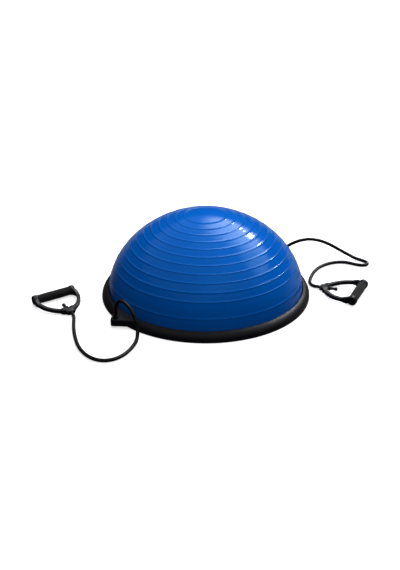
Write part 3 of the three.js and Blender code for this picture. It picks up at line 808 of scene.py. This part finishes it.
def hub_blank():
    """The collar round the tube, outside the bow: an oval barrel with a rolled end."""
    sections = []
    stations = ((92, 0.9), (98, 0.96), (104, 1.0), (109, 1.0), (111.2, 0.95), (112.2, 0.87), (112.5, 0.78))
    for along, swell in stations:
        section = []
        for index in range(48):
            angle = 2 * math.pi * index / 48
            across, up = math.cos(angle), math.sin(angle)
            square = (abs(across) ** 2.6 + abs(up) ** 2.6) ** (-1 / 2.6)
            section.append((
                HUB_HALF_WIDTH * swell * square * across, along, HUB_HALF_THICKNESS * swell * square * up))
        sections.append(section)
    return lofted(sections)


def disc(radius, low, high, rounding=0.0, facets=72):
    """A disc about the grip's axis."""
    corners = [(0, low), (radius, low), (radius, high), (0, high)]
    if rounding:
        corners = rounded(corners, rounding, closed=False)
    return turned(corners, facets, matrix=TO_X)


def bow():
    """One moulding: the D, its eyes round the grip's rod and its hub round the tube, melted together."""
    made = bow_blank()
    low, high = EYE_AT - EYE_THICKNESS / 2, EYE_OUTSIDE
    add(made, hub_blank(), disc(EYE_RADIUS, low, high, 1.2), disc(EYE_RADIUS, -high, -low, 1.2))
    melt = made.modifiers.new("melt", "REMESH")
    melt.mode = "VOXEL"
    melt.voxel_size = 0.65 * MM
    soften = made.modifiers.new("soften", "SMOOTH")
    soften.factor = 0.5
    soften.iterations = 5
    apply_modifiers(made)
    end = EYE_OUTSIDE + 20
    cut(made, block((-SLOT_HALF, 80, SLOT_FLOOR), (SLOT_HALF, 97.5, 12)),
        block((-SLOT_HALF, 80, -12), (SLOT_HALF, 97.5, -SLOT_FLOOR)),
        disc(15.5, -low, low), disc(15.5, EYE_OUTSIDE, end), disc(15.5, -end, -EYE_OUTSIDE))
    hub_bore = turned([(0, -60), (5.7, -60), (5.7, 60), (0, 60)], 40,
                      matrix=Matrix.Translation((0, HUB_AT * MM, 0)) @ TO_MINUS_Y)
    cut(made, disc(5.2, -80, 80, facets=40), hub_bore)
    return made


SLEEVE_BORE = 7.3


def sleeve(matrix):
    """The foam sleeve: full and even, its ends pinched in a little by their cut edges."""
    stations = np.linspace(-1, 1, 41)
    outside = []
    for share in stations:
        swell = 0.35 * (1 - share**4) - 0.12 * math.cos(9 * share)
        outside.append((SLEEVE_RADIUS - 0.45 + swell, share * (SLEEVE_HALF - 1.5)))
    profile = [
        (SLEEVE_BORE, -SLEEVE_HALF), (SLEEVE_RADIUS - 2.2, -SLEEVE_HALF),
        (SLEEVE_RADIUS - 0.9, 0.5 - SLEEVE_HALF), *outside, (SLEEVE_RADIUS - 0.9, SLEEVE_HALF - 0.5),
        (SLEEVE_RADIUS - 2.2, SLEEVE_HALF), (SLEEVE_BORE, SLEEVE_HALF),
    ]
    return turned(rounded(profile, 0.5, steps=2), 96, matrix=matrix @ TO_X)


def cap_profile():
    face = EYE_OUTSIDE + 0.3
    return rounded([
        (0, face + 3.3), (5.2, face + 3.3), (5.2, face), (13.9, face), (13.9, face + 2.4), (12.6, face + 4.6),
        (9.4, face + 5.6), (8.6, face + 5.0), (0, face + 5.0),
    ], 0.7, closed=False)


CORE_RADIUS = 7
CORE_END_RADIUS = 4.8


def core_profile():
    tip, shoulder = EYE_OUTSIDE + 3, SLEEVE_HALF
    return rounded([
        (0, -tip), (CORE_END_RADIUS, -tip), (CORE_END_RADIUS, -shoulder), (CORE_RADIUS, -shoulder),
        (CORE_RADIUS, shoulder), (CORE_END_RADIUS, shoulder), (CORE_END_RADIUS, tip), (0, tip),
    ], 0.5, closed=False, steps=3)


STOP_PROFILE = [
    (0, 0.3), (6.6, 0.3), (6.6, 5.4), (5.6, 6.4), (4.4, 7), (4.2, 9), (4.4, 19), (5.4, 20), (5.4, 25),
    (4.4, 26.3), (2.2, 26.3), (1.8, 25.4), (0, 25.4),
]
BUSH_PROFILE = [
    (5.5, LUG_TOP + 0.3), (7.6, LUG_TOP + 0.3), (7.6, LUG_TOP + 2.4), (7.0, LUG_TOP + 4.2),
    (6.5, LUG_TOP + 5.3), (5.5, LUG_TOP + 5.3),
]
ANCHOR_PROFILE = [
    (0, LUG_BOTTOM + 1.2), (3.4, LUG_BOTTOM + 1.2), (3.8, LUG_BOTTOM + 0.6), (7, LUG_BOTTOM + 0.6),
    (8.2, LUG_BOTTOM + 1.8), (8.2, LUG_BOTTOM + 4.8), (4.5, LUG_BOTTOM + 8.6), (0, LUG_BOTTOM + 8.6),
]

bow_pattern = bow()
for side in SIDES:
    matrix = HANDLE[side]
    handle_body, grip_body = f"handle_{side}", f"grip_{side}"
    lug_centre = at_angle(LUG_ANGLES[side], LUG_HOLE_AT)
    piece(turned(rounded(BUSH_PROFILE, 0.7), 64, matrix=lug_centre), f"lug_collar_{side}", "root",
          "tube_rubber", f"lug_bush_{side}")
    anchor = turned(rounded(ANCHOR_PROFILE, 0.6, closed=False), 64, matrix=lug_centre)
    piece(anchor, f"tube_anchor_{side}", "root", "stopper_plastic", f"anchor_plug_{side}")
    hub_face = matrix @ Matrix.Translation((0, HUB_INSIDE * MM, 0)) @ TO_MINUS_Y
    stop = turned(rounded(STOP_PROFILE, 0.7, closed=False), 56, matrix=hub_face)
    piece(stop, f"tube_end_{side}", "root", "stopper_plastic", f"tube_stop_{side}")
    piece(copied(bow_pattern, matrix), f"bow_{side}", handle_body, "handle_plastic",
          f"handle_bow_{side}", sharp=45)
    piece(turned(core_profile(), 48, matrix=matrix @ TO_X), f"grip_rod_{side}", handle_body, "handle_plastic",
          f"grip_core_{side}")
    for end, flip in (("a", 0), ("b", math.pi)):
        cap = turned(cap_profile(), 72, matrix=matrix @ Matrix.Rotation(flip, 4, "Z") @ TO_X)
        piece(cap, f"end_cap_{side}_{end}", handle_body, "handle_plastic", f"grip_cap_{side}_{end}")
    foam = piece(sleeve(matrix), f"foam_grip_{side}", grip_body, "grip_foam", f"grip_sleeve_{side}")
bpy.data.meshes.remove(bow_pattern.data)


# ---------------------------------------------------------------- floor and light

STUDIO_PROFILE = [(0, -0.0003), (24, -0.0003), (26.5, 0.9), (27.5, 3), (27.5, 22), (0, 24)]
studio = turned([(r / MM, z / MM) for r, z in STUDIO_PROFILE], 64, "studio")
studio.visible_diffuse = False
studio.visible_glossy = False
studio.visible_shadow = False
paper = Graph("studio_paper")
paper.set(specular_ior_level=0.0, roughness=1.0, emission_color=(1, 1, 1, 1))
reach = paper.nodes.new("ShaderNodeVectorMath")
reach.operation = "LENGTH"
paper.links.new(paper.place, reach.inputs[0])
fade = paper.ramp(reach.outputs["Value"], 0.6, 2.2, 0.62, 1.0)
paper.links.new(fade, paper.shader.inputs["Emission Strength"])
studio.data.materials.append(paper.finish(
    paper.mix(paper.noise(3, 2), srgb(236, 236, 236), srgb(242, 242, 242))))

RIGHT = Vector((math.cos(CAMERA_AZIMUTH), math.sin(CAMERA_AZIMUTH), 0))
AWAY = Vector((-math.sin(CAMERA_AZIMUTH), math.cos(CAMERA_AZIMUTH), 0))


def bearing_to(around, up):
    """A direction in degrees: 0 is the right of the photograph's view, 90 behind the object."""
    around, up = math.radians(around), math.radians(up)
    return math.cos(up) * (math.cos(around) * RIGHT + math.sin(around) * AWAY) + math.sin(up) * UP


def soft_light(name, bearing, elevation, distance, size, power, mirrored=True, aim=(0, 0, 0.12)):
    """A soft box at a bearing and an elevation from its aim. Unless mirrored, it makes no highlight."""
    where = Vector(aim) + distance * bearing_to(bearing, elevation)
    lamp = bpy.data.lights.new(name, "AREA")
    lamp.shape = "RECTANGLE"
    lamp.size, lamp.size_y = size
    lamp.energy = power
    holder = make_object(name, lamp)
    holder.location = where
    holder.rotation_mode = "QUATERNION"
    holder.rotation_quaternion = (where - Vector(aim)).to_track_quat("Z", "Y")
    holder.visible_camera = False
    holder.visible_glossy = mirrored
    return holder


soft_light("overhead", 80, 74, 2.4, (1.3, 1.3), 25, mirrored=False)
soft_light("key", 50, 37, 2.6, (0.34, 0.22), 15)
soft_light("front", -70, 48, 2.8, (1.6, 0.9), 17, mirrored=False)

world = bpy.data.worlds.new("studio")
world.use_nodes = True
bpy.context.scene.world = world
sky = world.node_tree
toward = sky.nodes.new("ShaderNodeTexCoord").outputs["Generated"]


def glow(facing, low, high, strength):
    """Light from the part of the surroundings that faces a direction, rising between two cosines."""
    dot = sky.nodes.new("ShaderNodeVectorMath")
    dot.operation = "DOT_PRODUCT"
    dot.inputs[1].default_value = facing
    sky.links.new(toward, dot.inputs[0])
    share = sky.nodes.new("ShaderNodeMapRange")
    share.interpolation_type = "SMOOTHSTEP"
    for name, value in (("From Min", low), ("From Max", high), ("To Min", 0), ("To Max", strength)):
        share.inputs[name].default_value = value
    sky.links.new(dot.outputs["Value"], share.inputs["Value"])
    return share.outputs["Result"]


def together(operation, first, second):
    node = sky.nodes.new("ShaderNodeMath")
    node.operation = operation
    for socket, value in zip(node.inputs, (first, second)):
        if isinstance(value, float):
            socket.default_value = value
        else:
            sky.links.new(value, socket)
    return node.outputs["Value"]


ceiling = glow(UP, 0.45, 0.57, 1.0)
near_window = glow(bearing_to(62, 46), 0.9, 0.995, 4.6)
far_window = glow(bearing_to(20, 40), 0.92, 0.985, 1.6)
ROOM_LIGHT = 0.28
windows = together("ADD", together("ADD", near_window, far_window), ROOM_LIGHT)
behind = together("MULTIPLY", glow(-UP, -0.05, 0.03, 0.22), glow(bearing_to(70, 0), 0.3, 0.9, 1.0))
total = together("ADD", together("ADD", together("MULTIPLY", ceiling, windows), behind), 0.02)
sky.nodes["Background"].inputs["Color"].default_value = (1, 1, 1, 1)
sky.links.new(total, sky.nodes["Background"].inputs["Strength"])
bpy.context.scene.view_settings.view_transform = "Standard"
